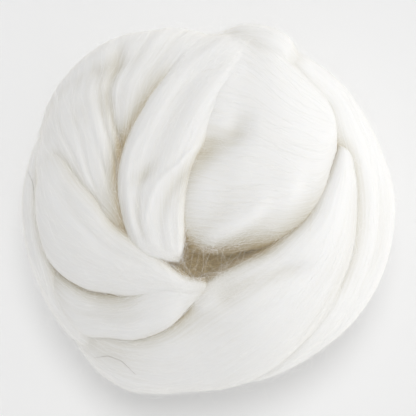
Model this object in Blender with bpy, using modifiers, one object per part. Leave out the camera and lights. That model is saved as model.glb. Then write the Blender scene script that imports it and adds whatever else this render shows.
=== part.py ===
"""Hand-wound ball of combed wool roving that rests on a small flat spot.

Metres, +Z up. The origin is the middle of the ball's box, on the surface it rests on.
The ball is a packed middle under broad soft strands. Each strand is a loft that runs
over the ball through its table's stations; the strands and the middle are then fused
into one solid and the underside is pressed flat.
"""
import math
from collections import namedtuple

import bmesh
import bpy
import numpy as np

# The ball
BALL_RADIUS = 0.085          # half its width across
CROWN_HEIGHT = 0.065         # crown above the ball's middle
BASE_DEPTH = 0.060           # round underside below the middle, before it is pressed flat
MIDDLE_HEIGHT = 0.054        # middle above the surface the ball rests on
CORE_INSET = 0.025           # packed middle under the strands' outer faces
CORE_SEGMENTS = 48
CORE_RINGS = 32

# A strand's section
STRAND_THICKNESS = 0.024
FULL_WIDTH = 0.030           # narrower strands are thinner too
THINNEST_SHARE = 0.35        # of the full thickness
BEND_RADIUS = 0.075          # a wide strand curves round the ball with this radius
END_TAPER = 0.015            # length over which an end rounds off
END_SHARE = 0.02             # size of the closed tip, as a share of the section
SECTION_STEP = 0.005         # distance between sections along a strand
SECTION_POINTS = 28
SPLINE_POINTS = 400

# The fused skin
SKIN_STEPS = (0.0025, 0.003) # first round all the strands, then over that smoothed skin
SMOOTH_FACTOR = 0.5
SMOOTH_PASSES = 6
SKIN_SHARE = 0.38            # of the fine skin's faces that are kept
FLAT_SNAP = 0.0008           # points this near the flat spot's plane are laid in it

# Strands that girdle and cross the unseen lower half, worked out by rule
GIRDLES = 3
GIRDLE_START = 20.0          # azimuth where the first begins
GIRDLE_SWEEP = -210.0        # each goes this far round the ball
GIRDLE_TILTS = (93.0, 118.0) # from its start down to its end
GIRDLE_WIDTH = 0.046
CROSSINGS = 4
CROSSING_START = 15.0
CROSSING_REACH = 84.0        # degrees from the underside's middle to each end
CROSSING_WIDTH = 0.056
CROSSING_SWING = 9.0         # degrees that its two halves wander to either side
LOW_ROWS = 7
LOW_RISE = -0.002
LOW_END_DIP = 0.010

WOOL_COLOUR = (0.86, 0.85, 0.81, 1.0)
WOOL_ROUGHNESS = 0.9

# A station: degrees round from +X, degrees down from the crown, width of the strand
# there, and how far its outer face stands above (+) or under (-) the ball's own form.
Station = namedtuple("Station", "azimuth tilt width rise")

STRANDS = {
    "left_rim": [
        (122, 106, 0.028, -0.009), (155, 82, 0.036, -0.002), (185, 80, 0.036, -0.001),
        (218, 86, 0.038, -0.002), (250, 104, 0.026, -0.014)],
    "left_fan": [
        (118, 122, 0.080, -0.010), (120, 86, 0.084, 0.000), (130, 58, 0.064, -0.001),
        (144, 41, 0.048, -0.004), (176, 29, 0.036, -0.007), (208, 28, 0.024, -0.010)],
    "top_loop": [
        (118, 98, 0.020, -0.016), (98, 84, 0.026, -0.004), (72, 81, 0.026, 0.000),
        (54, 74, 0.020, -0.006), (44, 62, 0.012, -0.016)],
    "right_rim": [
        (95, 92, 0.022, -0.016), (62, 71, 0.038, -0.002), (24, 68, 0.054, 0.000),
        (350, 68, 0.052, -0.001), (312, 72, 0.048, -0.003), (278, 92, 0.032, -0.013)],
    "inner_rim": [
        (36, 52, 0.010, -0.016), (14, 54, 0.024, -0.005), (350, 55, 0.034, -0.003),
        (315, 61, 0.038, -0.003), (284, 77, 0.022, -0.013)],
    "crown_pillow": [
        (160, 16, 0.044, -0.016), (105, 9, 0.066, -0.001), (50, 26, 0.082, 0.001),
        (52, 55, 0.084, -0.002), (52, 95, 0.050, -0.018)],
    "front_fold": [
        (90, 118, 0.056, -0.010), (90, 81, 0.054, -0.001), (95, 49, 0.042, 0.000),
        (124, 23, 0.036, 0.002), (192, 17, 0.026, 0.001), (246, 21, 0.012, -0.008)],
    "lower_tuck": [
        (180, 106, 0.036, -0.010), (201, 80, 0.044, -0.003), (224, 53, 0.038, 0.000),
        (250, 33, 0.022, 0.000), (280, 26, 0.008, -0.010)],
    "upper_tuck": [
        (150, 112, 0.040, -0.010), (168, 83, 0.046, -0.002), (196, 54, 0.036, 0.001),
        (221, 37, 0.026, 0.003), (254, 26, 0.012, -0.001), (275, 27, 0.007, -0.007)],
    "front_sweep": [
        (32, 60, 0.008, -0.016), (12, 48, 0.015, 0.000), (344, 42, 0.031, 0.004),
        (302, 43, 0.050, 0.003), (265, 59, 0.047, 0.000), (232, 82, 0.042, -0.004),
        (205, 106, 0.026, -0.013)],
}


def girdle_rows(turn):
    """Stations of a strand that winds down round the lower half."""
    rows = []
    for share in np.linspace(0.0, 1.0, LOW_ROWS):
        body = math.sin(math.pi * share) ** 0.5
        azimuth = GIRDLE_START + 360.0 * turn / GIRDLES + GIRDLE_SWEEP * share
        tilt = GIRDLE_TILTS[0] + (GIRDLE_TILTS[1] - GIRDLE_TILTS[0]) * share
        width = GIRDLE_WIDTH * (0.5 + 0.5 * body)
        rows.append((azimuth, tilt, width, LOW_RISE - LOW_END_DIP * (1.0 - body)))
    return rows


def crossing_rows(turn):
    """Stations of a strand that crosses under the ball from side to side."""
    rows = []
    azimuth = CROSSING_START + 180.0 * turn / CROSSINGS
    for share in np.linspace(-1.0, 1.0, LOW_ROWS):
        side = azimuth if share < 0.0 else azimuth + 180.0
        side += CROSSING_SWING * math.sin(2.0 * turn + 3.0 * share)
        tilt = 180.0 - CROSSING_REACH * abs(share)
        width = CROSSING_WIDTH * (1.0 - 0.2 * abs(share))
        rows.append((side, tilt, width, LOW_RISE - LOW_END_DIP * abs(share) ** 3))
    return rows


def spline(points, count):
    """A smooth curve through the points: uniform Catmull-Rom, read at even parameters."""
    first = 2 * points[0] - points[1]
    last = 2 * points[-1] - points[-2]
    padded = np.vstack([first, points, last])
    place = np.linspace(0, len(points) - 1, count)
    index = np.minimum(place.astype(int), len(points) - 2)
    part = (place - index)[:, None]
    before, start, end, after = (padded[index + k] for k in range(4))
    return 0.5 * (2 * start + (end - before) * part
                  + (2 * before - 5 * start + 4 * end - after) * part ** 2
                  + (3 * start - before - 3 * end + after) * part ** 3)


def unit(vectors):
    return vectors / np.linalg.norm(vectors, axis=1)[:, None]


def centre_line(rows):
    """Evenly spaced centres of a strand's sections, with the ball's normal and the width."""
    stations = [Station(*row) for row in rows]
    azimuth = np.radians([s.azimuth for s in stations])
    tilt = np.radians([s.tilt for s in stations])
    knots = np.column_stack([
        np.sin(tilt) * np.cos(azimuth), np.sin(tilt) * np.sin(azimuth), np.cos(tilt),
        [s.width for s in stations], [s.rise for s in stations]])
    curve = spline(knots, SPLINE_POINTS)
    heading = unit(curve[:, :3])
    half_height = np.where(heading[:, 2] > 0, CROWN_HEIGHT, BASE_DEPTH)
    axes = np.column_stack([np.full_like(half_height, BALL_RADIUS)] * 2 + [half_height])
    normal = unit(heading / axes)
    centre = heading * axes + normal * (curve[:, 4:5] - STRAND_THICKNESS / 2)
    steps = np.linalg.norm(np.diff(centre, axis=0), axis=1)
    run = np.concatenate([[0.0], np.cumsum(steps)])
    at = np.linspace(0.0, run[-1], max(8, round(run[-1] / SECTION_STEP)))
    even = [np.interp(at, run, column) for column in np.column_stack(
        [centre, normal, curve[:, 3]]).T]
    even = np.column_stack(even)
    return even[:, :3], unit(even[:, 3:6]), even[:, 6], at


def strand_mesh(rows):
    """A closed loft of elliptical sections that bend round the ball and close at the ends."""
    centre, normal, width, at = centre_line(rows)
    along = unit(np.gradient(centre, axis=0))
    across = unit(np.cross(normal, along))
    outward = np.cross(along, across)
    near_end = np.clip(np.minimum(at, at[-1] - at) / END_TAPER, 0.0, 1.0)
    end = np.sqrt(1 - (1 - near_end) ** 2) * (1 - END_SHARE) + END_SHARE
    half_width = width * end / 2
    share = np.clip(width / FULL_WIDTH, THINNEST_SHARE, 1.0)
    half_thick = STRAND_THICKNESS * share * end / 2
    angle = np.linspace(0.0, 2 * math.pi, SECTION_POINTS, endpoint=False)
    sideways = half_width[:, None] * np.cos(angle)
    lift = half_thick[:, None] * np.sin(angle) - sideways ** 2 / (2 * BEND_RADIUS)
    points = (centre[:, None] + across[:, None] * sideways[..., None]
              + outward[:, None] * lift[..., None])
    points[..., 2] += MIDDLE_HEIGHT
    index = np.arange(len(at) * SECTION_POINTS).reshape(len(at), SECTION_POINTS)
    turned = np.roll(index, -1, axis=1)
    sides = np.stack([index[:-1], turned[:-1], turned[1:], index[1:]], -1).reshape(-1, 4)
    caps = [index[0, ::-1].tolist(), index[-1].tolist()]
    return points.reshape(-1, 3), sides.tolist() + caps


def add_strand(mesh, rows):
    """Add one strand's loft to the mesh."""
    points, faces = strand_mesh(rows)
    corners = [mesh.verts.new(point) for point in points]
    for face in faces:
        mesh.faces.new([corners[k] for k in face])


def add_core(mesh):
    """Add the packed middle: a rounded form a little smaller than the ball."""
    sphere = bmesh.ops.create_uvsphere(
        mesh, u_segments=CORE_SEGMENTS, v_segments=CORE_RINGS, radius=1.0)
    wide = BALL_RADIUS - CORE_INSET
    for corner in sphere["verts"]:
        high = CROWN_HEIGHT if corner.co.z > 0 else BASE_DEPTH
        corner.co.x *= wide
        corner.co.y *= wide
        corner.co.z = corner.co.z * (high - CORE_INSET) + MIDDLE_HEIGHT


def wound_mesh():
    """The packed middle and every strand, as overlapping closed shells in one mesh."""
    mesh = bmesh.new()
    add_core(mesh)
    for turn in range(CROSSINGS):
        add_strand(mesh, crossing_rows(turn))
    for turn in range(GIRDLES):
        add_strand(mesh, girdle_rows(turn))
    for rows in STRANDS.values():
        add_strand(mesh, rows)
    data = bpy.data.meshes.new("wound_strands")
    mesh.to_mesh(data)
    mesh.free()
    return data


def fused(data):
    """One skin round all the strands: a fine voxel remesh, smoothed and then thinned."""
    holder = bpy.data.objects.new("strands", data)
    bpy.context.scene.collection.objects.link(holder)
    for step in SKIN_STEPS:
        fuse = holder.modifiers.new("fuse", "REMESH")
        fuse.mode = "VOXEL"
        fuse.voxel_size = step
        soften = holder.modifiers.new("soften", "SMOOTH")
        soften.factor = SMOOTH_FACTOR
        soften.iterations = SMOOTH_PASSES
    thin = holder.modifiers.new("thin", "DECIMATE")
    thin.ratio = SKIN_SHARE
    graph = bpy.context.evaluated_depsgraph_get()
    skin = bpy.data.meshes.new_from_object(holder.evaluated_get(graph))
    bpy.data.objects.remove(holder)
    bpy.data.meshes.remove(data)
    return skin


def keep_outer_skin(mesh):
    """Delete all but the island with the most points, so no sealed hollow is left."""
    unseen = set(mesh.verts)
    islands = []
    while unseen:
        front = [unseen.pop()]
        island = set(front)
        while front:
            corner = front.pop()
            for edge in corner.link_edges:
                other = edge.other_vert(corner)
                if other in unseen:
                    unseen.remove(other)
                    island.add(other)
                    front.append(other)
        islands.append(island)
    islands.sort(key=len)
    for island in islands[:-1]:
        bmesh.ops.delete(mesh, geom=list(island), context="VERTS")


def press_flat(mesh):
    """Cut the underside off level at z = 0 and close it with one flat face."""
    for corner in mesh.verts:
        if abs(corner.co.z) < FLAT_SNAP:
            corner.co.z = 0.0
    everything = mesh.verts[:] + mesh.edges[:] + mesh.faces[:]
    bmesh.ops.bisect_plane(
        mesh, geom=everything, dist=1e-6, plane_co=(0, 0, 0), plane_no=(0, 0, 1),
        clear_inner=True)
    rim = [edge for edge in mesh.edges if edge.is_boundary]
    bmesh.ops.holes_fill(mesh, edges=rim, sides=0)


def centre_on_origin(mesh):
    """Move the ball sideways until its box is centred on the origin."""
    for axis in range(2):
        places = [corner.co[axis] for corner in mesh.verts]
        shift = (min(places) + max(places)) / 2
        for corner in mesh.verts:
            corner.co[axis] -= shift


def wool_material():
    material = bpy.data.materials.new("wool")
    material.use_nodes = True
    shader = material.node_tree.nodes["Principled BSDF"]
    shader.inputs["Base Color"].default_value = WOOL_COLOUR
    shader.inputs["Roughness"].default_value = WOOL_ROUGHNESS
    shader.inputs["Metallic"].default_value = 0.0
    return material


def build_ball():
    """The whole ball as one closed solid."""
    data = fused(wound_mesh())
    mesh = bmesh.new()
    mesh.from_mesh(data)
    keep_outer_skin(mesh)
    press_flat(mesh)
    bmesh.ops.triangulate(mesh, faces=mesh.faces[:])
    bmesh.ops.recalc_face_normals(mesh, faces=mesh.faces[:])
    centre_on_origin(mesh)
    mesh.to_mesh(data)
    mesh.free()
    data.name = "wound_roving"
    data.shade_smooth()
    data.materials.append(wool_material())
    ball = bpy.data.objects.new("wound_roving", data)
    collection = bpy.data.collections.new("wool_roving")
    bpy.context.scene.collection.children.link(collection)
    collection.objects.link(ball)
    return ball


for existing in list(bpy.data.objects):
    bpy.data.objects.remove(existing)
build_ball()
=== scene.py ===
import math

import bpy
import numpy as np
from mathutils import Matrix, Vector


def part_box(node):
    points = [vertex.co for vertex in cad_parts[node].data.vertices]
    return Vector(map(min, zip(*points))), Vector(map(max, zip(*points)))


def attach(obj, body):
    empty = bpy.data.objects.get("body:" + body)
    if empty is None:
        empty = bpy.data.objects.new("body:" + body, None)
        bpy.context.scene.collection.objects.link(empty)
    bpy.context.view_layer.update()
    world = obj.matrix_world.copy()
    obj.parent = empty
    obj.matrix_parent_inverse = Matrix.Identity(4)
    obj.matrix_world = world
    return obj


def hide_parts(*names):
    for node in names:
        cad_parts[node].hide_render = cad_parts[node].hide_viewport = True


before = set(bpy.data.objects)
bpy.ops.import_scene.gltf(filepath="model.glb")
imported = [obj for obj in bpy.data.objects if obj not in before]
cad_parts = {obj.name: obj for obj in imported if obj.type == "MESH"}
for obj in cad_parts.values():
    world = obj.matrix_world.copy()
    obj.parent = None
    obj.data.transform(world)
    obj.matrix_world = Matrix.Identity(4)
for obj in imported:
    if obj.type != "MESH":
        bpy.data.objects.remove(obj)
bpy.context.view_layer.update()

# A hand-wound ball of combed wool roving: broad strands laid over a packed middle,
# each a section carried along a path over the ball, then loose fibres laid along them.
# Lengths are in metres, and angles in degrees unless a note says radians. A heading is a
# direction from the ball's middle, stated as degrees round from +X and down from the crown.
print("ball form")

boxLow, boxHigh = (np.array(corner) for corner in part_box("wound_roving"))
boxSize = boxHigh - boxLow
ball = {
    "radius": 0.987 * (boxSize[0] + boxSize[1]) / 4,  # half width of the form that the strands follow
    "crown": 0.535 * boxSize[2],   # crown above the middle
    "base": 0.495 * boxSize[2],    # underside below it, before it is pressed flat
    "middle": 0.445 * boxSize[2],  # middle above the floor
    "press": 0.0014,               # how softly the underside flattens on the floor
}
ballMiddle = np.array([0, 0, ball["middle"]])


def unit(vectors):
    # each vector divided by its own length
    return vectors / np.linalg.norm(vectors, axis=-1, keepdims=True)


def formAxes(headings):
    # half axes of the ball form: wide, wide, and crown or base by the heading's sign
    high = np.where(headings[..., 2] > 0, ball["crown"], ball["base"])
    wide = np.full_like(high, ball["radius"])
    return np.stack([wide, wide, high], -1)


def onForm(headings):
    # heading * half axes: the form's point at each heading, measured from the ball's middle
    return headings * formAxes(headings)


def headingsOf(turn, tilt):
    # unit headings from degrees round from +X and degrees down from the crown
    turn, tilt = np.radians(turn), np.radians(tilt)
    return np.stack([np.sin(tilt) * np.cos(turn), np.sin(tilt) * np.sin(turn), np.cos(tilt)], -1)


def splineAt(knots, place):
    # uniform Catmull-Rom curve through the knots, read at the given places (0 is the first knot)
    padded = np.vstack([2 * knots[0] - knots[1], knots, 2 * knots[-1] - knots[-2]])
    index = np.minimum(place.astype(int), len(knots) - 2)
    part = (place - index)[:, None]
    before, start, end, after = (padded[index + k] for k in range(4))
    return 0.5 * (2 * start + (end - before) * part
                  + (2 * before - 5 * start + 4 * end - after) * part ** 2
                  + (3 * start - before - 3 * end + after) * part ** 3)


def smoothStep(values, low, high):
    # 0 below low, 1 above high, and an S curve between
    share = np.clip((values - low) / (high - low), 0, 1)
    return share * share * (3 - 2 * share)


def latticeNoise(along, around, cells, seed):
    # smooth noise on (along 0..1, around 0..1 and wrapping): random values on a grid, eased between
    table = np.random.default_rng(seed).uniform(-1, 1, (cells[0] + 3, cells[1]))
    x, y = along * cells[0], (around % 1) * cells[1]
    i, j = np.clip(np.floor(x).astype(int), 0, cells[0]), np.floor(y).astype(int)
    x, y = smoothStep(x - i, 0, 1), smoothStep(y - j, 0, 1)
    j, k = j % cells[1], (j + 1) % cells[1]
    return ((table[i, j] * (1 - x) + table[i + 1, j] * x) * (1 - y)
            + (table[i, k] * (1 - x) + table[i + 1, k] * x) * y)


def edgeKnots(stations):
    # rows of (first edge's heading, second edge's heading, rise, lean); lean is 0 where it isn't given
    rows = np.array([(*row, 0)[:6] for row in stations])
    first, second = headingsOf(rows[:, 0], rows[:, 1]), headingsOf(rows[:, 2], rows[:, 3])
    return np.column_stack([first, second, rows[:, 4:]])


section = {
    "boxy": 0.72,             # how square a section is (1 is an ellipse)
    "reach": 1.05,            # how far sections pass the stated edges
    "inner": 0.12,            # share of a section's points before its outer half, and again after it
    "fullWidth": 0.030,       # strands narrower than this are thinner in proportion,
    "leastThickness": 0.35,   # down to this share
    "taper": 0.015,           # length over which a strand's end rounds off
    "tip": 0.02,              # size of the very end, as a share
    "streakWidth": 0.024,     # streaks are fainter on strands narrower than this
    "streakEdge": 0.002,      # added to the half width, so that streaks pass the edges only a little
    "fade": (0.25, 0.45),     # stations outside and inside a groove's ends over which it fades
    "readings": 600,          # places at which a path's length is measured
}


def evenRows(strand):
    # The spline through the knots, read at equal steps of its middle line's length. Gives the
    # length up to each row, and rows of first edge, second edge, rise, lean and station.
    knots = edgeKnots(strand["stations"]) if "stations" in strand else strand["knots"]
    place = np.linspace(0, len(knots) - 1, section["readings"])
    curve = splineAt(knots, place)
    middle = onForm(unit(curve[:, :3] + curve[:, 3:6]))
    run = np.concatenate([[0], np.cumsum(np.linalg.norm(np.diff(middle, axis=0), axis=1))])
    even = np.linspace(0, run[-1], strand["grid"][0])
    table = np.column_stack([curve, place])
    return even, np.column_stack([np.interp(even, run, column) for column in table.T])


def grooved(strand, lift, place, across, outerHalf):
    # for each groove, lift - depth * fade * outer half * exp(-((across - course) / spread) squared)
    outside, inside = section["fade"]
    for spread, depth, course in strand.get("grooves", ()):
        stops, follow = np.array(course).T
        follow = np.interp(place, stops, follow)
        fadeIn = smoothStep(place, stops[0] - outside, stops[0] + inside)
        fade = fadeIn * (1 - smoothStep(place, stops[-1] - inside, stops[-1] + outside))
        lift = lift - depth * fade * outerHalf * np.exp(-((across - follow) / spread) ** 2)
    return lift


def streaksOf(strand, length, girth, places, seed):
    # sum of height * noise, with length / stretch cells along the strand and girth / size around it
    streaks = 0
    for number, (size, height, stretch) in enumerate(strand["streaks"], 1):
        cells = (max(2, round(length / stretch)), max(5, round(girth / size)))
        streaks = streaks + height * latticeNoise(*places, cells, seed + number)
    return streaks


def strandGrid(strand, seed):
    # A rounded section, one row of the grid, carried along between two edges that lie on the form:
    # heading = first edge * (1 + across) / 2 + second edge * (1 - across) / 2, and lift over the
    # form = rise - half thickness + half thickness * up. Across and up are the cosine and sine of
    # the angle round the section, to the power boxy; grooves lower the lift and streaks raise it.
    even, rows = evenRows(strand)
    length = even[-1]
    first, second = unit(rows[:, :3]), unit(rows[:, 3:6])
    rise, lean, place = rows[:, 6:].T[..., None]
    width = np.linalg.norm(onForm(first) - onForm(second), axis=1)[:, None]

    share = np.linspace(0, 1, strand["grid"][1], endpoint=False)
    inner = section["inner"]
    angle = np.interp(share, [0, inner, 1 - inner, 1], np.radians([-90, 0, 180, 270]))
    cosine, sine = np.cos(angle)[None, :], np.sin(angle)[None, :]
    nearEnd = np.clip(np.minimum(even, length - even) / section["taper"], 0, 1)
    end = (section["tip"] + (1 - section["tip"]) * np.sqrt(1 - (1 - nearEnd) ** 2))[:, None]
    across = np.sign(cosine) * np.abs(cosine) ** section["boxy"]
    thinner = np.clip(width / section["fullWidth"], section["leastThickness"], 1)
    half = strand["thickness"] / 2 * thinner * end
    leaning = np.where(sine > 0, 1 + lean * across, 1)
    lift = half * np.sign(sine) * np.abs(sine) ** section["boxy"] * leaning
    lift = grooved(strand, lift, place, across, np.clip(sine * 4, 0, 1))

    girth = 2 * (width.mean() + strand["thickness"])
    places = np.meshgrid(np.linspace(0, 1, len(even)), share, indexing="ij")
    streaks = streaksOf(strand, length, girth, places, seed) * np.clip(width / section["streakWidth"], 0, 1)
    lift = lift + streaks * sine
    across = across * end * section["reach"] + streaks * cosine / (width / 2 + section["streakEdge"])
    heading = unit(first[:, None] * (1 + across)[..., None] + second[:, None] * (1 - across)[..., None])
    outward = unit(heading / formAxes(heading))
    points = onForm(heading) + outward * (lift + rise - half)[..., None]
    height = points[..., 2] + ball["middle"]
    points[..., 2] = ball["press"] * np.logaddexp(0, height / ball["press"])  # pressed on the floor
    return {"name": strand["name"], "points": points, "share": share, "length": length, "girth": girth}


# The strands. A station is the first edge's degrees round and down, the second edge's degrees
# round and down, the rise over the form and, where given, the lean to the first edge. A groove
# is its spread, its depth (- for a ridge) and a course of (station, across), across being 1 at
# the first edge and -1 at the second. Streaks are size across, height and length.
softStreaks = [(0.0085, 0.00030, 0.070), (0.0036, 0.00012, 0.045), (0.0017, 0.00006, 0.030),
               (0.0009, 0.00003, 0.020)]
smoothStreaks = [(0.0085, 0.00010, 0.070), (0.0036, 0.00008, 0.045), (0.0017, 0.00005, 0.030)]
combStreaks = [(0.0085, 0.00055, 0.070), (0.0036, 0.00034, 0.060), (0.0017, 0.00014, 0.040)]
lowStreaks = softStreaks[:2]

leftRim = {
    "name": "left_rim", "thickness": 0.024, "grid": (100, 110), "streaks": softStreaks,
    "stations": [
        (148, 85, 148, 102, -0.01), (155.5, 85, 154.5, 98, -0.002),
        (165.5, 73, 169.5, 97, -0.0005), (175.5, 69, 178, 97, 0), (184.5, 67.5, 187, 97, 0),
        (193, 66, 196.5, 97, 0), (201.5, 65.5, 205, 97, 0), (210.5, 68.5, 214, 97, 0.0005),
        (221, 69.5, 223.5, 97, 0.001), (230, 68.5, 232, 97, 0), (236, 70.5, 241, 98, -0.001),
        (244, 65.5, 248, 100, -0.004), (254, 66.5, 255, 104, -0.012)],
}
leftFan = {
    "name": "left_fan", "thickness": 0.024, "grid": (110, 190), "streaks": combStreaks,
    "stations": [
        (84, 112, 172, 116, -0.012), (86, 98, 170, 104, -0.004), (88.5, 76.5, 168, 95, 0),
        (96, 55.5, 163, 93, 0), (107, 45.5, 162.5, 84.5, -0.001),
        (120.5, 37.5, 173, 59, -0.0022, -0.15), (137, 31.5, 183, 46.5, -0.0032, -0.3),
        (153.5, 30, 191, 38.5, -0.0038, -0.25), (168.5, 27.5, 195, 33, -0.0042, -0.2),
        (187.5, 25, 204.5, 30.5, -0.006, -0.25), (209, 24.5, 218, 29, -0.009),
        (230.5, 25, 231.5, 28.5, -0.014)],
    "grooves": [
        (0.45, -0.002, [(0.6, 0.05), (2, 0.05), (3.1, 0)]),
        (0.45, -0.002, [(0.6, 0.05), (2, 0.05), (4.4, -0.05)]),
        (0.05, 0.0022, [(2.4, 0.28), (3.4, 0.33), (4.2, 0.33), (4.9, 0.38), (6, 0.56), (7, 0.82)]),
        (0.2, 0.001, [(3, 0.3), (4.2, 0.31), (4.9, 0.37), (6, 0.56), (7, 0.82)]),
        (0.035, 0.001, [(3, 0.14), (3.5, 0.19), (4.2, 0.23), (5, 0.27), (5.8, 0.37), (7.1, 0.56)]),
        (0.04, 0.001, [(3.2, 0), (4, -0.04), (4.9, -0.09), (5.6, -0.15), (6.6, -0.15)]),
        (0.035, 0.0007, [(3.6, 0.1), (4.6, 0.08), (5.6, 0.12), (6.6, 0.2)]),
        (0.04, 0.0007, [(3.4, -0.25), (4.6, -0.28), (5.8, -0.28)]),
        (0.1, -0.0003, [(3, -0.3), (6.5, -0.2)]),
        (0.09, -0.0003, [(3.2, -0.62), (6.5, -0.5)]),
        (0.12, -0.0004, [(3, 0.02), (4.6, 0.1), (6.2, 0.3)]),
        (0.15, 0.003, [(6.6, 0.8), (8, 0.84), (9.4, 0.84)]),
        (0.11, 0.0022, [(4.5, -0.54), (5, -0.49), (5.7, -0.43), (6.5, -0.38), (7.2, -0.39)])],
}
topLoop = {
    "name": "top_loop", "thickness": 0.020, "grid": (80, 90), "streaks": softStreaks,
    "stations": [
        (96, 104, 92, 63.5, -0.012), (87.5, 100, 85.5, 64, -0.006), (81, 99, 79.5, 61.5, 0),
        (75.5, 99, 72.5, 60, 0.0025), (70, 99, 66, 58, 0.0035), (64.5, 99, 60, 56, 0.0018),
        (58, 100, 54, 56.5, -0.005), (51.5, 101, 48.5, 57, -0.018)],
}
rightRim = {
    "name": "right_rim", "thickness": 0.024, "grid": (120, 140), "streaks": softStreaks,
    "stations": [
        (82.5, 104, 81.5, 68.5, -0.014), (75, 98, 74, 62, -0.007),
        (65.5, 97, 64.5, 56, -0.002), (54.5, 97, 54, 54, -0.0008), (45.5, 97, 45.5, 54, 0),
        (35.5, 97, 39, 55.5, 0), (26, 97, 30.5, 50.5, 0), (15, 97, 17.5, 48, 0, 0.2),
        (2, 97, 2, 49, 0, 0.45), (350, 97, 347.5, 50, 0, 0.45), (336, 97, 331.5, 51.5, 0, 0.4),
        (322.5, 97, 315.5, 54.5, 0, 0.2), (309.5, 97, 299.5, 58.5, -0.001),
        (296.5, 97, 287.5, 63, -0.0015), (285, 97, 277, 76, -0.003),
        (272.5, 99, 266, 87.5, -0.006), (262.5, 102, 257, 87, -0.012)],
    "grooves": [
        (0.16, 0.0007, [(4.5, -0.1), (12.5, -0.1)])],
}
crownPillow = {
    "name": "crown_pillow", "thickness": 0.030, "grid": (120, 200), "streaks": smoothStreaks,
    "stations": [
        (87, 58.5, 218.5, 24, -0.014), (84.5, 84, 245.5, 15.5, -0.002, -0.15),
        (80, 84, 285.5, 15.5, 0.0003, -0.15), (72.5, 72, 316, 20, 0.002),
        (63.5, 67, 328, 26, 0.002), (54.5, 65.5, 342.5, 33.5, 0.001), (46.5, 66, 0.5, 37, 0),
        (38.5, 60.5, 12.5, 43.5, -0.002), (30, 55, 20.5, 49.5, -0.008)],
    "grooves": [
        (0.085, 0.0028, [(1, -0.32), (1.3, -0.29), (1.6, -0.25), (1.9, -0.2), (2.3, -0.15)]),
        (0.1, 0.0012, [(0.9, -0.36), (1.2, -0.31), (1.6, -0.26)]),
        (0.09, -0.0013, [(1.4, -0.88), (2, -0.75), (2.6, -0.63), (3, -0.56)]),
        (0.13, -0.0012, [(1.4, -0.88), (2, -0.75), (2.6, -0.63), (3, -0.56), (3.5, -0.46), (4.2, -0.39)]),
        (0.22, 0.0008, [(0.8, -0.47), (1.4, -0.44), (2, -0.4)]),
        (0.14, 0.0018, [(0.4, -0.99), (1, -0.98), (2, -0.97), (2.8, -0.96)])],
}
frontFold = {
    "name": "front_fold", "thickness": 0.024, "grid": (130, 160), "streaks": softStreaks,
    "stations": [
        (71.5, 104, 92, 104, -0.012), (67.5, 84, 86.5, 84, -0.004),
        (67, 64.5, 95, 59, -0.0005), (71, 46.5, 108.5, 46, 0.001),
        (76.5, 35.5, 122, 38.5, 0.0015), (82.5, 26.5, 138.5, 33, 0.0022),
        (91, 18.5, 154.5, 30, 0.0026), (105.5, 12.5, 169, 28.5, 0.0018),
        (136.5, 7, 183.5, 27, 0.0014), (207, 7, 199, 26, 0.0012), (239, 12, 216, 25.5, 0.0012),
        (248, 14.5, 227, 23, 0.001), (249.5, 17, 241, 21.5, -0.003)],
    "grooves": [
        (0.1, -0.0005, [(2.9, 0.8), (10.2, 0.8)]),
        (0.1, -0.0009, [(6.2, 0.85), (7, 0.62), (7.5, 0.2), (8.1, 0), (9.1, -0.2)]),
        (0.34, 0.0026, [(2.5, -0.14), (3.2, -0.12), (3.9, -0.1), (4.7, -0.04), (6.3, -0.08), (7.4, -0.27)]),
        (0.14, 0.0014, [(6.6, -0.12), (7.5, -0.28), (8.5, -0.38), (9.6, -0.42)]),
        (0.18, 0.0009, [(7.2, 0.84), (8.3, 0.37), (9.5, 0.15), (10.4, 0.1)]),
        (0.09, -0.0005, [(5.2, -0.5), (5.8, -0.62), (8.1, -0.58), (9.2, -0.62)])],
}
lowerTuck = {
    "name": "lower_tuck", "thickness": 0.024, "grid": (100, 120), "streaks": softStreaks,
    "stations": [
        (183, 81, 198.5, 86, -0.012), (193, 73.5, 206.5, 86, -0.006),
        (202, 63, 216, 86.5, -0.0025, -0.1), (213.5, 53.5, 226, 81, -0.0012, -0.15),
        (222.5, 45, 234, 63.5, -0.0008, -0.2), (229, 36, 241.5, 55.5, 0.001, -0.15),
        (234, 28.5, 248, 48.5, 0.0026), (244.5, 23.5, 253.5, 42, 0.003),
        (259.5, 24.5, 259, 35, 0.001), (270, 25, 265, 29.5, -0.0025),
        (281.5, 29.5, 276.5, 31.5, -0.011), (293, 34, 291.5, 35, -0.018)],
    "grooves": [
        (0.14, 0.0006, [(3, 0.2), (4.5, 0), (6, 0.1)])],
}
upperTuck = {
    "name": "upper_tuck", "thickness": 0.024, "grid": (110, 120), "streaks": softStreaks,
    "stations": [
        (152.5, 85, 164.5, 74, -0.01), (155.5, 74.5, 178, 69.5, -0.004),
        (160.5, 56.5, 190, 65.5, 0.0006), (169, 43.5, 202.5, 63, 0.0014),
        (179.5, 34.5, 214, 54, 0.0014), (193.5, 29.5, 222.5, 45.5, 0.0013),
        (216.5, 23, 231.5, 38, 0.0022), (242.5, 22.5, 240, 31.5, 0.0028),
        (255, 23.5, 253.5, 28.5, 0.0022), (268.5, 24, 266, 27.5, -0.0015),
        (281.5, 27, 278, 30.5, -0.012), (292, 31.5, 289.5, 34, -0.018)],
    "grooves": [
        (0.12, 0.0005, [(2.6, 0.6), (3.6, 0.5), (4.8, 0.38), (6.4, 0.48)]),
        (0.1, 0.0004, [(2.2, 0), (4.2, -0.2), (6, -0.2)])],
}
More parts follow.
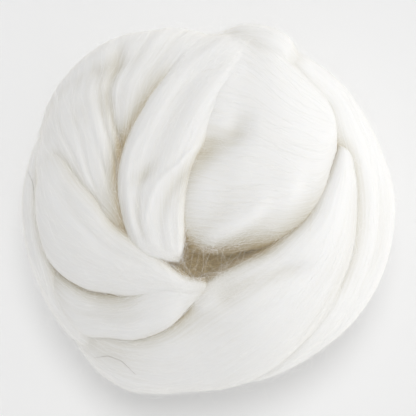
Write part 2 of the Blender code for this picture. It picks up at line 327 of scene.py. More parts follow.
frontSweep = {
    "name": "front_sweep", "thickness": 0.026, "grid": (150, 160), "streaks": softStreaks,
    "stations": [
        (25.5, 53.5, 25.5, 51.5, -0.006), (20.5, 53.5, 22, 47.5, 0.0005),
        (12.5, 53.5, 13.5, 41.5, 0.002, -0.2), (3, 55, 4, 35.5, 0.002, -0.25),
        (353, 56.5, 352, 31, 0.0025, -0.3), (342, 58, 336, 26, 0.003, -0.3),
        (329, 60, 319, 23.5, 0.003, -0.32), (316, 63, 298.5, 22, 0.0035, -0.3),
        (302, 68.5, 278, 23.5, 0.0035, -0.2), (289.5, 76, 264, 27.5, 0.0022),
        (277.5, 87, 256.5, 33.5, 0.001), (267, 95, 251, 39.5, 0.001),
        (256, 96, 245.5, 45.5, 0.0025, 0.3), (246.5, 97, 239, 52, 0.0035, 0.5),
        (234.5, 98, 230.5, 60.5, 0.002, 0.4), (223.5, 102, 222, 73, -0.002, 0.2),
        (213.5, 108, 215.5, 86.5, -0.009)],
    "grooves": [
        (0.2, 0.0024, [(5.7, -0.4), (6.2, -0.52), (6.6, -0.6), (7.1, -0.67), (7.6, -0.72), (8.5, -0.75)])],
}
shownStrands = [leftRim, leftFan, topLoop, rightRim, crownPillow, frontFold,
                lowerTuck, upperTuck, frontSweep]

winds = {
    "girdles": 3, "start": 20, "sweep": -210, "tilts": (93, 118), "girdleHalf": 17, "endWidth": 0.5,
    "crossings": 4, "crossingStart": 15, "reach": 84, "crossingHalf": 20, "swing": 9, "narrowing": 0.2,
    "thickness": 0.024, "girdleGrid": (90, 64), "crossingGrid": (80, 56),
    "rows": 7, "rise": -0.002, "dip": 0.010,
}


def girdleStrand(turn):
    # A strand that winds down round the lower half: turned = start + sweep * share, its edges half
    # the width above and below, and its ends dipping under its neighbours.
    share = np.linspace(0, 1, winds["rows"])
    body = np.sin(np.pi * share) ** 0.5
    turned = winds["start"] + 360 * turn / winds["girdles"] + winds["sweep"] * share
    tilt = np.interp(share, [0, 1], winds["tilts"])
    half = winds["girdleHalf"] * (winds["endWidth"] + (1 - winds["endWidth"]) * body)
    rise = winds["rise"] - winds["dip"] * (1 - body)
    stations = np.column_stack([turned, tilt + half, turned, tilt - half, rise])
    return {"name": f"girdle_{turn + 1}", "thickness": winds["thickness"],
            "grid": winds["girdleGrid"], "streaks": lowStreaks, "stations": stations}


def crossingStrand(turn):
    # A strand that crosses under the ball: its middle runs through the lowest point, reach to
    # either side of it, and its edges are middle + and - aside * tan(half the width).
    share = np.linspace(-1, 1, winds["rows"])
    side = winds["crossingStart"] + 180 * turn / winds["crossings"]
    side = side + winds["swing"] * np.sin(2 * turn + 3 * share)
    heading = headingsOf(side, 180 + winds["reach"] * share)
    half = np.radians(winds["crossingHalf"] * (1 - winds["narrowing"] * np.abs(share)))
    aside = headingsOf(side + 90, 90 + 0 * side) * np.tan(half)[:, None]
    rise = winds["rise"] - winds["dip"] * np.abs(share) ** 3
    knots = np.column_stack([heading + aside, heading - aside, rise, 0 * rise])
    return {"name": f"crossing_{turn + 1}", "thickness": winds["thickness"],
            "grid": winds["crossingGrid"], "streaks": lowStreaks, "knots": knots}


hiddenStrands = [crossingStrand(turn) for turn in range(winds["crossings"])]
hiddenStrands += [girdleStrand(turn) for turn in range(winds["girdles"])]
grids = [strandGrid(strand, 100 * number) for number, strand in enumerate(hiddenStrands + shownStrands)]
print("strands worked out:", len(grids))

# The ball's outer face as a map: it softens the creases and says how deep a point lies.
relief = {
    "cells": 384, "border": 2,           # cells across the map, and those left free at its edge
    "empty": 0.80, "fill": (2, 1),       # the face where nothing lies, and steps that fill small gaps
    "closing": 3, "blur": 2,             # steps that close the narrow creases, and smooth them
    "wideClosing": 10, "wideBlur": 8,    # the same for wide ones, at the soft spots
    "strength": 0.3, "margin": 0.0004,   # share of the way that points rise, and the depth they keep
    "hidden": 0.003, "wideHidden": 0.006, "hiddenFrom": 0.3,  # depths from which points don't rise
    "fromFloor": 0.004,                  # points nearer to the floor stay as they are
    "spotCore": 0.4,                     # share of a soft spot that is fully soft
    "spots": [(84, 58, 26, 0.95), (160, 70, 12, 0.9), (318, 66, 14, 0.7), (173, 29, 11, 0.0),
              (56, 71, 12, 0.9), (269, 27, 9, 0.6)],  # degrees round, down and across, and softening
    "spread": 7, "soften": 30,           # steps that make the smooth face from which depth is measured
}


def formPlace(points):
    # a point's heading on the ball form, and its distance from the middle as a share of the form
    offset = points - ballMiddle
    scaled = offset / formAxes(offset)
    size = np.linalg.norm(scaled, axis=-1)
    return scaled / size[..., None], size


def mapPlace(heading):
    # An equal-area map of all headings on a square grid, with the crown at its centre:
    # distance from the centre = sqrt((1 - height) / 2), in the heading's own direction.
    reach = np.sqrt(np.maximum(0, (1 - heading[..., 2]) / 2))
    flat = np.hypot(heading[..., 0], heading[..., 1]) + 1e-9  # never zero
    scale = 0.5 * (relief["cells"] - 2 * relief["border"])
    return tuple((1 + heading[..., axis] / flat * reach) * scale + relief["border"] for axis in (0, 1))


def readMap(table, x, y):
    # the table's values at fractional places, straight between its cells
    i = np.clip(np.floor(x).astype(int), 0, relief["cells"] - 2)
    j = np.clip(np.floor(y).astype(int), 0, relief["cells"] - 2)
    x, y = x - i, y - j
    return ((table[j, i] * (1 - x) + table[j, i + 1] * x) * (1 - y)
            + (table[j + 1, i] * (1 - x) + table[j + 1, i + 1] * x) * y)


def grown(table, steps, better):
    # each cell takes the better of itself and its neighbours, step by step, roughly in a circle
    for step in range(steps):
        near = [np.roll(table, shift, axis) for shift in (1, -1) for axis in (0, 1)]
        if step % 2:
            near += [np.roll(table, (a, b), (0, 1)) for a in (1, -1) for b in (1, -1)]
        for other in near:
            table = better(table, other)
    return table


def closed(table, out, back):
    # grown by so many steps and shrunk again by so many, which fills what is narrower
    return grown(grown(table, out, np.maximum), back, np.minimum)


def blurred(table, steps):
    # each step gives (cell before + 2 * cell + cell after) / 4, along both directions
    for _ in range(steps):
        for axis in (0, 1):
            table = (np.roll(table, 1, axis) + 2 * table + np.roll(table, -1, axis)) / 4
    return table


def outerFace():
    # the highest strand point in each cell, with small gaps filled
    face = np.full((relief["cells"], relief["cells"]), relief["empty"])
    for grid in grids:
        heading, size = formPlace(grid["points"])
        x, y = mapPlace(heading)
        cells = (np.round(y).astype(int).ravel(), np.round(x).astype(int).ravel())
        np.maximum.at(face, cells, size.ravel())
    return closed(face, *relief["fill"])


def softShares(heading):
    # how far points rise to the narrowly and the widely closed face: strength and 0, and inside
    # the soft spots less of the first and up to the spot's own softening of the second
    narrow, wide = np.full(heading.shape[:-1], relief["strength"]), np.zeros(heading.shape[:-1])
    for turn, tilt, across, softening in relief["spots"]:
        apart = np.arccos(np.clip(heading @ headingsOf(turn, tilt), -1, 1))
        near = 1 - smoothStep(np.degrees(apart), relief["spotCore"] * across, across)
        narrow, wide = narrow * (1 - near), np.maximum(wide, near * softening)
    return narrow, wide


def softenCreases():
    # Points that show rise part of the way to a face whose creases are closed, less where a
    # strand dips under another: size + share * (closed face - margin - size).
    face = outerFace()
    narrowFace = blurred(closed(face, relief["closing"], relief["closing"]), relief["blur"])
    wideFace = blurred(closed(face, relief["wideClosing"], relief["wideClosing"]), relief["wideBlur"])
    for grid in grids:
        heading, size = formPlace(grid["points"])
        x, y = mapPlace(heading)
        reach = np.linalg.norm(onForm(heading), axis=-1)
        narrow, wide = softShares(heading)
        hidden = (readMap(face, x, y) - size) * reach
        for share, layer, depth in [(narrow, narrowFace, relief["hidden"]),
                                    (wide, wideFace, relief["wideHidden"])]:
            shown = 1 - smoothStep(hidden, relief["hiddenFrom"] * depth, depth)
            gap = np.maximum(0, readMap(layer, x, y) - relief["margin"] / reach - size)
            size = size + share * shown * gap
        points = onForm(heading) * size[..., None] + ballMiddle
        grid["points"] = np.where(grid["points"][..., 2:] > relief["fromFloor"], points, grid["points"])
        step = np.roll(grid["points"], -1, axis=1) - np.roll(grid["points"], 1, axis=1)
        grid["normals"] = unit(np.cross(step, np.gradient(grid["points"], axis=0)) + 1e-15)  # never zero


softenCreases()
faceMap = outerFace()
softMap = blurred(grown(faceMap, relief["spread"], np.maximum), relief["soften"])
print("creases softened")


def under(table, points):
    # metres from a point out to the map's face, along the line to the middle
    heading, size = formPlace(points)
    return (readMap(table, *mapPlace(heading)) - size) * np.linalg.norm(onForm(heading), axis=-1)


class Wire:
    # a node's output socket; + - * on it add Math nodes, with a number on either side
    def __init__(self, board, socket):
        self.board, self.socket = board, socket

    def maths(self, operation, first, second):
        # one Math node: first operation second
        return self.board.node("ShaderNodeMath", {"operation": operation}, {0: first, 1: second})

    def __add__(self, other):
        return self.maths("ADD", self, other)

    def __sub__(self, other):
        return self.maths("SUBTRACT", self, other)

    def __rsub__(self, other):
        return self.maths("SUBTRACT", other, self)

    def __mul__(self, other):
        return self.maths("MULTIPLY", self, other)

    __radd__ = __add__
    __rmul__ = __mul__


class Board:
    # a material's node tree, built by one method
    def __init__(self, name):
        self.material = bpy.data.materials.new(name)
        self.material.use_nodes = True
        self.nodes, self.links = self.material.node_tree.nodes, self.material.node_tree.links
        self.shader = self.nodes["Principled BSDF"]

    def node(self, kind, settings, values, output=0):
        # a node of this kind: its settings first, then its sockets' values or links
        made = self.nodes.new(kind)
        for name, value in settings.items():
            setattr(made, name, value)
        for name, value in values.items():
            self.feed(made.inputs[name], value)
        return Wire(self, made.outputs[output])

    def feed(self, socket, value):
        # a wire is linked to the socket, and anything else is set on it
        if isinstance(value, Wire):
            self.links.new(value.socket, socket)
        else:
            socket.default_value = value

    def finish(self, values):
        # the shader's own sockets, then the finished material
        for name, value in values.items():
            self.feed(self.shader.inputs[name], value)
        return self.material

    def streaks(self, grain, pattern):
        # noise(place * repeats), the repeats being more across the fibres than along them
        along, across, detail = pattern
        stretched = self.node("ShaderNodeVectorMath", {"operation": "MULTIPLY"},
                              {0: grain, 1: (along, across, 1)})
        return self.node("ShaderNodeTexNoise", {"noise_dimensions": "2D"},
                         {"Vector": stretched, "Scale": 1, "Detail": detail, "Roughness": 0.55})

    def step(self, value, low, high):
        # 0 below low, 1 above high, and an S curve between
        return self.node("ShaderNodeMapRange", {"interpolation_type": "SMOOTHSTEP"},
                         {"Value": value, "From Min": low, "From Max": high})

    def blend(self, share, first, second):
        # first colour * (1 - share) + second colour * share
        return self.node("ShaderNodeMix", {"data_type": "RGBA"}, {0: share, 6: first, 7: second}, 2)

    def bump(self, strength, distance, height):
        # normals tilted by the slope of distance * height
        return self.node("ShaderNodeBump", {}, {"Strength": strength, "Distance": distance, "Height": height})


wool = {
    "white": (0.88, 0.878, 0.87, 1), "cream": (0.86, 0.855, 0.838, 1),
    # shade and tan are painted crease shade: greyer, then warmer, where a point lies deeper under the soft
    # face
    "shade": (0.66, 0.635, 0.56, 1), "tan": (0.47, 0.39, 0.25, 1),
    "shadeFrom": 0.0006, "shadeTo": 0.0050, "warmShadeFrom": 0.0032, "warmShadeTo": 0.0072,  # metres deep, where the painted crease shade and painted warm (tan) shade start and are full
    "unevenDepth": 0.002,             # how far bundles shift those depths
    "tone": 0.97, "toneRange": 0.03,  # brightness, and how much the streaks add to it
    "bump": 0.6, "relief": 0.00014, "fineRelief": 0.4, "bundleRelief": 0.6,
    # streaks: repeats per metre along and across the fibres, and detail
    "broad": (10, 130, 1), "bundles": (22, 650, 3), "fine": (60, 2400, 2),
    "roughness": 0.85, "gloss": 0.2,
    "sheen": 0.5, "sheenColour": (1.0, 0.96, 0.88, 1), "sheenRoughness": 0.35,
    "glow": 0.2, "glowReach": 0.004, "glowColour": (1.0, 0.95, 0.85),
}


def woolShell(glow):
    # the settings that every wool surface shares
    return {"Roughness": wool["roughness"], "Specular IOR Level": wool["gloss"],
            "Sheen Weight": wool["sheen"], "Sheen Roughness": wool["sheenRoughness"],
            "Sheen Tint": wool["sheenColour"], "Subsurface Weight": glow,
            "Subsurface Scale": wool["glowReach"], "Subsurface Radius": wool["glowColour"]}


def combedWool():
    # White to cream by broad streaks, then to the painted shade and the painted warm (tan) shade by
    # depth + uneven * (bundles - 0.5), so that creases are painted darker and warmer; the result
    # * (tone + range * (fine + bundles)). Fine and bundled streaks also make the bump.
    board = Board("combed_wool")
    grain = board.node("ShaderNodeUVMap", {"uv_map": "grain"}, {})
    depth = board.node("ShaderNodeAttribute", {"attribute_name": "depth"}, {}, 2)
    fine = board.streaks(grain, wool["fine"])
    bundles = board.streaks(grain, wool["bundles"])
    broad = board.streaks(grain, wool["broad"])
    depth = depth + (bundles - 0.5) * wool["unevenDepth"]
    shaded = board.step(depth, wool["shadeFrom"], wool["shadeTo"])
    warmShaded = board.step(depth, wool["warmShadeFrom"], wool["warmShadeTo"])
    colour = board.blend(broad, wool["white"], wool["cream"])
    colour = board.blend(shaded, colour, wool["shade"])
    colour = board.blend(warmShaded, colour, wool["tan"])
    tone = wool["tone"] + fine * wool["toneRange"] + bundles * wool["toneRange"]
    colour = board.node("ShaderNodeVectorMath", {"operation": "SCALE"}, {0: colour, "Scale": tone})
    height = fine * wool["fineRelief"] + bundles * wool["bundleRelief"]
    bump = board.bump(wool["bump"], wool["relief"], height)
    return board.finish({**woolShell(wool["glow"]), "Base Color": colour, "Normal": bump})


packed = {
    # light and dark are tans of painted warm shade for the deep hollow; the streaks between them are the
    # matting's uneven tone
    "light": (0.95, 0.84, 0.57, 1), "dark": (0.76, 0.66, 0.43, 1),
    "matting": (260, 900, 4), "lightFrom": 0.35, "lightTo": 0.65, "bump": 0.8, "relief": 0.0005,
}


def packedWool():
    # matted wool deep in the hollow, its tan colours painted warm shade: dark to light by short streaks, and
    # a bump from them
    board = Board("packed_wool")
    place = board.node("ShaderNodeTexCoord", {}, {}, 3)
    matting = board.streaks(place, packed["matting"])
    lit = board.step(matting, packed["lightFrom"], packed["lightTo"])
    colour = board.blend(lit, packed["dark"], packed["light"])
    bump = board.bump(packed["bump"], packed["relief"], matting)
    return board.finish({**woolShell(0), "Base Color": colour, "Normal": bump})


def plainWool(name, colour, shine):
    # one colour, with a shine that stands in for the light that passes through thin fibres
    board = Board(name)
    return board.finish({**woolShell(0), "Base Color": colour, "Emission Color": colour,
                         "Emission Strength": shine})


def ringFaces(index):
    # Faces of rows of closed rings, whose last two axes are the row and the place round the ring:
    # four corners between each point, the next one round and the next row, and a cap at each end.
    turned = np.roll(index, -1, axis=-1)
    corners = [index[..., :-1, :], turned[..., :-1, :], turned[..., 1:, :], index[..., 1:, :]]
    caps = [index[..., 0, ::-1], index[..., -1, :]]
    return (np.stack(corners, -1).reshape(-1, 4),
            np.concatenate([cap.reshape(-1, index.shape[-1]) for cap in caps]).tolist())


def meshOf(name, points, quads, caps, material):
    # a smooth mesh of the points, quads and end caps, riding on the body as part of the roving
    mesh = bpy.data.meshes.new(name)
    mesh.from_pydata(points.reshape(-1, 3), [], quads.tolist() + caps)
    mesh.update()
    mesh.shade_smooth()
    mesh.materials.append(material)
    piece = bpy.data.objects.new(name, mesh)
    bpy.context.scene.collection.objects.link(piece)
    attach(piece, "root")
    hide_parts("wound_roving")
    return piece


grainStep = (0.9, 0.4)  # each strand reads its own part of the streak pattern


def strandPiece(grid, material, number):
    # A strand's mesh, with its depth under the soft face at each point and two layers of map
    # places: shares along and around, and the same in metres for the fibre streaks.
    rows, columns = grid["points"].shape[:2]
    quads, caps = ringFaces(np.arange(rows * columns).reshape(rows, columns))
    piece = meshOf(grid["name"], grid["points"], quads, caps, material)
    depth = piece.data.attributes.new("depth", "FLOAT", "POINT")
    depth.data.foreach_set("value", under(softMap, grid["points"]).ravel())
    along = np.linspace(0, 1, rows)
    around = np.append(grid["share"], 1)
    i, j = np.meshgrid(np.arange(rows - 1), np.arange(columns), indexing="ij")
    corners = [(along[i + a], around[j + b]) for a, b in [(0, 0), (0, 1), (1, 1), (1, 0)]]
    flat = np.stack([np.stack(corner, -1) for corner in corners], 2).reshape(-1, 2)
    flat = np.vstack([flat, np.zeros((2 * columns, 2))])  # the two tiny end caps
    offset = [step * number for step in grainStep]
    for layer, places in [("OFBake", flat), ("grain", flat * [grid["length"], grid["girth"]] + offset)]:
        piece.data.uv_layers.new(name=layer).data.foreach_set("uv", places.ravel())


combed = combedWool()
for number, grid in enumerate(grids):
    strandPiece(grid, combed, number)
print("strand pieces made")

core = {"inset": 0.023, "rings": 40, "sides": 64}


def corePiece(material):
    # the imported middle: heading * (half axes - inset), with both poles closed
    tilt = np.linspace(0, 180, core["rings"])[1:-1, None]
    turn = np.linspace(0, 360, core["sides"], endpoint=False)[None, :]
    heading = headingsOf(*np.broadcast_arrays(turn, tilt))
    points = heading * (formAxes(heading) - core["inset"]) + ballMiddle
    rows, columns = points.shape[:2]
    quads, caps = ringFaces(np.arange(rows * columns).reshape(rows, columns))
    quads, caps = quads[:, [0, 3, 2, 1]], [cap[::-1] for cap in caps]  # turned to face outwards
    meshOf("packed_middle", points, quads, caps, material)


corePiece(packedWool())
print("packed middle made")

# The hollow near the crown, where the strands meet: fibres lie in it, bridge it and crowd its rim.
hollow = {
    "middle": (-0.003, -0.0245), "half": (0.015, 0.006),       # its place, and half its size each way
    "floor": (0.0945, 0.0985), "lengths": (0.005, 0.015),      # heights and lengths of fibres in it
    "radius": (0.00002, 0.00004), "points": 7,
    "turn": 0.35, "turnSpread": 0.8,                           # their way round, in radians
    "slope": 0.12, "bow": 0.25, "bowSlope": 0.3,
    "rim": (1.1, 2.0), "crowd": 1.7,                           # in hollows away from the middle
    "rimHeight": 0.08, "rimShowing": 0.001,                    # bridges end this high and near the face
    "bridgeTries": 3000, "bridgeLengths": (0.006, 0.022), "bridgeLift": 0.0004,
    "sag": 0.003, "sway": 0.0012,                              # a bridge's bow, down and at random
}

# Loose fibres laid along the strands. Loose ones lie all over, fuzz beside the creases and
# round the hollow, and the halo at the outline. Their scatters are in radians.
fibres = {
    "sides": 3, "height": 0.00012,                    # of a tube, and over the strand
    "showing": 0.004, "fromFloor": 0.012,             # depth and height within which they start
    "flyLift": 0.0035, "tip": 0.6, "humpWidth": 1.4,  # a flying fibre's lift, and a hump's shape
    "bow": 0.06, "thinEnd": 0.35, "thinPower": 0.6, "cut": 0.06,
    "creaseDepth": 0.0065, "batch": 6000,             # depth beyond which fibres take the painted crease shade, and the most in a piece
    "loose": {"points": 7, "length": (0.010, 0.034), "radius": (0.00002, 0.000035), "scatter": 0.16,
              "wildScatter": 0.6, "wildShare": 0.06, "lift": 0.0006, "flyShare": 0.02},
    "fuzz": {"points": 5, "length": (0.003, 0.010), "radius": (0.000014, 0.000026), "scatter": 0.5,
             "wildScatter": 1.2, "wildShare": 0.6, "lift": 0.0013, "flyShare": 0.12},
    "halo": {"points": 5, "length": (0.003, 0.011), "radius": (0.000022, 0.00004), "scatter": 0.5,
             "wildScatter": 1.2, "wildShare": 0.7, "lift": 0.0018, "flyShare": 0.14},
    "outlineFacing": 0.4,  # the outline's parts face up less than this
    "shoulder": {"from": 0.0012, "to": 0.010, "usual": 0.004, "power": 1.5},  # depths beside creases
    "counts": {"loose": 4500, "outline": 5000, "shoulder": 6500, "rims": 2200, "hollow": 300, "bridge": 110},
}


def readGrid(table, i, j):
    # a strand grid's values at fractional row and column, wrapping round the section
    rows, columns = table.shape[:2]
    row = np.clip(np.floor(i).astype(int), 0, rows - 2)
    column = np.floor(j).astype(int)
    x, y = np.clip(i - row, 0, 1)[..., None], (j - column)[..., None]
    left, right = column % columns, (column + 1) % columns
    return ((table[row, left] * (1 - x) + table[row + 1, left] * x) * (1 - y)
            + (table[row, right] * (1 - x) + table[row + 1, right] * x) * y)


def hollowsAway(points):
    # distance from the hollow's middle, counted in its half sizes
    return np.linalg.norm((points[..., :2] - hollow["middle"]) / hollow["half"], axis=-1)


def shownParts(grid):
    # near the outer face, and clear of the floor
    onFace = under(faceMap, grid["points"]) < fibres["showing"]
    return onFace & (grid["points"][..., 2] > fibres["fromFloor"])


def outlineParts(grid):
    # the parts that face sideways or down
    return shownParts(grid) & (grid["normals"][..., 2] < fibres["outlineFacing"])


def shoulderParts(grid):
    # beside the creases: weight = (depth / usual depth) to a power, between two depths
    shoulder = fibres["shoulder"]
    depth = np.clip(under(softMap, grid["points"]), 0, 1)
    between = (depth > shoulder["from"]) * (depth < shoulder["to"])
    return shownParts(grid) * between * (depth / shoulder["usual"]) ** shoulder["power"]


def rimParts(grid):
    # round the hollow: weight = exp(-(hollows away / crowd) squared)
    return shownParts(grid) * np.exp(-(hollowsAway(grid["points"]) / hollow["crowd"]) ** 2)


def fibrePaths(kind, count, seed, parts):
    # Each fibre starts at a random place in the given parts and follows its strand, turned by a
    # small random angle: ahead = length * cos(angle) * t, aside = length * sin(angle) * t + bow.
    # Its height over the strand is lift * (1 - 4 (t - tip) squared / hump width), at least 0.
    rng = np.random.default_rng(seed)
    weights = []
    for grid in grids:
        points = grid["points"]
        area = np.linalg.norm(np.cross(np.gradient(points, axis=0), np.gradient(points, axis=1)), axis=-1)
        weights.append(area * parts(grid))
    totals = np.array([weight.sum() for weight in weights])
    shares = rng.multinomial(count, totals / totals.sum())
    t = np.linspace(-0.5, 0.5, kind["points"])[None, :]
    paths, outs = [], []
    for grid, weight, share in zip(grids, weights, shares):
        if not share:
            continue
        rows, columns = weight.shape
        cell = rng.choice(rows * columns, share, p=weight.ravel() / weight.sum())
        i, j = cell // columns + rng.random(share), cell % columns + rng.random(share)
        stepAlong = grid["length"] / (rows - 1)
        stepAround = np.linalg.norm(np.roll(grid["points"], -1, axis=1) - grid["points"], axis=-1)
        stepAround = readGrid(stepAround[..., None], i, j)[:, 0] + 1e-5  # never zero
        length = rng.uniform(*kind["length"], share)
        wild = rng.random(share) < kind["wildShare"]
        angle = rng.normal(0, 1, share) * np.where(wild, kind["wildScatter"], kind["scatter"])
        bow = rng.normal(0, fibres["bow"], share)[:, None] * length[:, None] * (1 - 4 * t ** 2)
        ahead = length[:, None] * np.cos(angle)[:, None] * t
        aside = length[:, None] * np.sin(angle)[:, None] * t + bow
        i = i[:, None] + ahead / stepAlong
        j = j[:, None] + aside / stepAround[:, None]
        points = readGrid(grid["points"], i, j)
        normals = unit(readGrid(grid["normals"], i, j))
        flying = rng.random(share) < kind["flyShare"]
        lift = np.abs(rng.normal(0, 1, share)) * np.where(flying, fibres["flyLift"], kind["lift"])
        tip = rng.uniform(-fibres["tip"], fibres["tip"], share)[:, None]
        hump = lift[:, None] * np.clip(1 - 4 * (t - tip) ** 2 / fibres["humpWidth"], 0, 1)
        paths.append(points + normals * (fibres["height"] + hump)[..., None])
        outs.append(normals)
    return np.concatenate(paths), np.concatenate(outs), rng.uniform(*kind["radius"], count)


def fibrePiece(name, paths, normals, radii, material):
    # a closed tube round each path: centre + radius * (out * cos + side * sin), thinner to its ends
    count, steps = paths.shape[:2]
    along = unit(np.gradient(paths, axis=1) + 1e-12)  # never zero
    side = unit(np.cross(along, normals) + 1e-12)
    out = np.cross(side, along)
    angle = 2 * np.pi * np.arange(fibres["sides"]) / fibres["sides"]
    body = np.sin(np.pi * np.linspace(fibres["cut"], 1 - fibres["cut"], steps)) ** fibres["thinPower"]
    reach = (radii[:, None] * (fibres["thinEnd"] + (1 - fibres["thinEnd"]) * body))[..., None, None]
    rings = paths[:, :, None] + reach * (out[:, :, None] * np.cos(angle)[:, None]
                                        + side[:, :, None] * np.sin(angle)[:, None])
    quads, caps = ringFaces(np.arange(rings[..., 0].size).reshape(count, steps, fibres["sides"]))
    meshOf(name, rings, quads, caps, material)


fibreLook = {  # colour and shine; tan and deep are painted crease and hollow shade, hair is the guard hairs' own colour
    "light": (wool["white"], 0.10), "tan": ((0.66, 0.57, 0.40, 1), 0.05),
    "deep": ((0.48, 0.38, 0.22, 1), 0), "hair": ((0.16, 0.12, 0.08, 1), 0),
}
lightFibre = plainWool("light_fibre", *fibreLook["light"])
warmShadeFibre = plainWool("warm_shade_fibre", *fibreLook["tan"])
deepShadeFibre = plainWool("deep_shade_fibre", *fibreLook["deep"])
darkHair = plainWool("guard_hair", *fibreLook["hair"])


def layFibres(name, kind, parts, seed):
    # light fibres in batches, and ones in painted warm crease shade where the third point lies deeper than
    # the crease depth
    paths, normals, radii = fibrePaths(fibres[kind], fibres["counts"][name], seed, parts)
    deep = under(softMap, paths[:, 2]) > fibres["creaseDepth"]
    light = np.flatnonzero(~deep)
    for number, part in enumerate(np.array_split(light, 1 + len(light) // fibres["batch"])):
        fibrePiece(f"{name}_fibres_{number + 1}", paths[part], normals[part], radii[part], lightFibre)
    if deep.any():
        fibrePiece(f"{name}_crease_fibres", paths[deep], normals[deep], radii[deep], warmShadeFibre)


layFibres("loose", "loose", shownParts, seed=7)
layFibres("outline", "halo", outlineParts, seed=8)
layFibres("shoulder", "fuzz", shoulderParts, seed=9)
layFibres("rims", "fuzz", rimParts, seed=10)
print("fibres laid")


def hollowFibres(seed):
    # thin curved fibres over the hollow's floor:
    # start + length * (ahead * t + aside * bow * (1 - 4 t squared))
    rng = np.random.default_rng(seed)
    count = fibres["counts"]["hollow"]
    middle = np.array(hollow["middle"]) + np.array(hollow["half"]) * rng.uniform(-1, 1, (count, 2))
    turn = rng.normal(hollow["turn"], hollow["turnSpread"], count)
    ahead = np.stack([np.cos(turn), np.sin(turn), rng.normal(0, hollow["slope"], count)], -1)
    aside = np.stack([-np.sin(turn), np.cos(turn), rng.normal(0, hollow["bowSlope"], count)], -1)
    t = np.linspace(-0.5, 0.5, hollow["points"])[None, :, None]
    length = rng.uniform(*hollow["lengths"], count)[:, None, None]
    start = np.column_stack([middle, rng.uniform(*hollow["floor"], count)])[:, None]
    bow = rng.normal(0, hollow["bow"], count)[:, None, None]
    paths = start + length * (ahead[:, None] * t + aside[:, None] * bow * (1 - 4 * t ** 2))
    return paths, rng.uniform(*hollow["radius"], count)


def bridgeFibres(seed):
    # fibres from one rim of the hollow to another:
    # (first + second) / 2 + (second - first) * t + (sway - sag) * (1 - 4 t squared)
    rng = np.random.default_rng(seed)
    rims = []
    for grid in grids:
        points = grid["points"].reshape(-1, 3)
        ring = hollowsAway(points)
        near = (ring > hollow["rim"][0]) & (ring < hollow["rim"][1])
        near = near & (under(faceMap, points) < hollow["rimShowing"])
        rims.append(points[near & (points[:, 2] > hollow["rimHeight"])])
    rims = np.concatenate(rims)
    first, second = rims[rng.integers(0, len(rims), (2, hollow["bridgeTries"]))]
    least, most = hollow["bridgeLengths"]
    apart = np.linalg.norm(first - second, axis=-1)
    keep = np.flatnonzero((apart < most) & (apart > least))[:fibres["counts"]["bridge"]]
    first, second = first[keep, None], second[keep, None]
    t = np.linspace(-0.5, 0.5, hollow["points"])[None, :, None]
    bow = rng.normal(0, hollow["sway"], (len(keep), 1, 3)) - [0, 0, hollow["sag"]]
    paths = (first + second) / 2 + (second - first) * t + bow * (1 - 4 * t ** 2)
    return paths + [0, 0, hollow["bridgeLift"]], rng.uniform(*hollow["radius"], len(keep))


guardHair = {
    "radius": 0.00007, "lift": 0.0003,
    "courses": [[(168.5, 78), (172, 72), (175.5, 69), (178, 67)],
                [(233.5, 76), (237, 68), (241.5, 65.5), (247.5, 68)]],  # degrees round, down
}


def guardHairs():
    # two coarse dark hairs on the left rim: the outer face at each heading of the course, + lift
    paths = []
    for course in guardHair["courses"]:
        heading = headingsOf(*np.array(course, float).T)
        points = onForm(heading) + ballMiddle
        paths.append(points + heading * (under(faceMap, points) + guardHair["lift"])[:, None])
    return np.array(paths), np.full(len(paths), guardHair["radius"])


# the hollow's tan and deep fibres carry painted warm shade; the bridges are light and the guard hairs dark in
# their own colour
for name, (paths, radii), material in [("hollow_fibres", hollowFibres(seed=11), warmShadeFibre),
                                       ("deep_shade_fibres", hollowFibres(seed=13), deepShadeFibre),
                                       ("bridge_fibres", bridgeFibres(seed=12), lightFibre),
                                       ("guard_hairs", guardHairs(), darkHair)]:
    fibrePiece(name, paths, np.array([0.0, 0, 1]) + 0 * paths, radii, material)
print("hollow fibres laid")

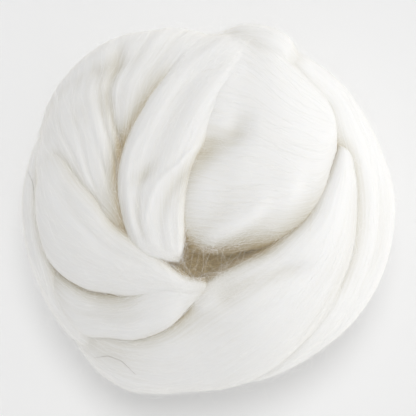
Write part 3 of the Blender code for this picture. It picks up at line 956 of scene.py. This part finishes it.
studio = {
    "floorSize": 6, "floorColour": (0.90, 0.90, 0.90, 1), "floorRoughness": 0.9, "sky": 0.52,
    "suns": [(85, 76, 22, 1.05, True), (15, 3, 60, 1.28, False),
             (280, 3, 60, 0.5, False)],  # degrees round, up and wide, power, and whether it casts shadows
    "viewTurn": 0, "viewRise": 88, "viewDistance": 0.813442, "viewAside": 0.001, "lens": 160, "sensor": 36,
}


def addFloor():
    # a plain pale square at height 0
    half = studio["floorSize"] / 2
    mesh = bpy.data.meshes.new("floor")
    corners = [(-half, -half, 0), (half, -half, 0), (half, half, 0), (-half, half, 0)]
    mesh.from_pydata(corners, [], [(0, 1, 2, 3)])
    board = Board("floor_paper")
    mesh.materials.append(board.finish({"Base Color": studio["floorColour"],
                                        "Roughness": studio["floorRoughness"]}))
    floor = bpy.data.objects.new("floor", mesh)
    bpy.context.scene.collection.objects.link(floor)


def aimed(item, place, target):
    # a lamp or camera at its place, its -Z along target - place
    item.location = place
    item.rotation_euler = (Vector(target) - Vector(place)).to_track_quat("-Z", "Y").to_euler()
    bpy.context.scene.collection.objects.link(item)


def addLight():
    # an even white sky, and suns that shine from their headings to the middle
    world = bpy.data.worlds.new("studio")
    bpy.context.scene.world = world
    world.use_nodes = True
    sky = world.node_tree.nodes["Background"].inputs
    sky["Color"].default_value = (1, 1, 1, 1)
    sky["Strength"].default_value = studio["sky"]
    for number, (turn, rise, angle, power, shadows) in enumerate(studio["suns"]):
        lamp = bpy.data.lights.new(f"soft_light_{number + 1}", "SUN")
        lamp.energy, lamp.angle, lamp.use_shadow = power, math.radians(angle), shadows
        aimed(bpy.data.objects.new(lamp.name, lamp), headingsOf(turn, 90 - rise), (0, 0, 0))


def addCamera():
    # place = target + distance * (sin turn * cos rise, -cos turn * cos rise, sin rise)
    scene = bpy.context.scene
    scene.view_settings.view_transform = "Standard"  # plain colours
    camera = bpy.data.cameras.new("camera")
    camera.lens, camera.sensor_width = studio["lens"], studio["sensor"]
    turn, rise = math.radians(studio["viewTurn"]), math.radians(studio["viewRise"])
    back = Vector((math.sin(turn) * math.cos(rise), -math.cos(turn) * math.cos(rise), math.sin(rise)))
    target = Vector((studio["viewAside"], 0, ball["middle"]))
    viewer = bpy.data.objects.new("camera", camera)
    aimed(viewer, target + back * studio["viewDistance"], target)
    scene.camera = viewer


addFloor()
addLight()
addCamera()
print("studio set")
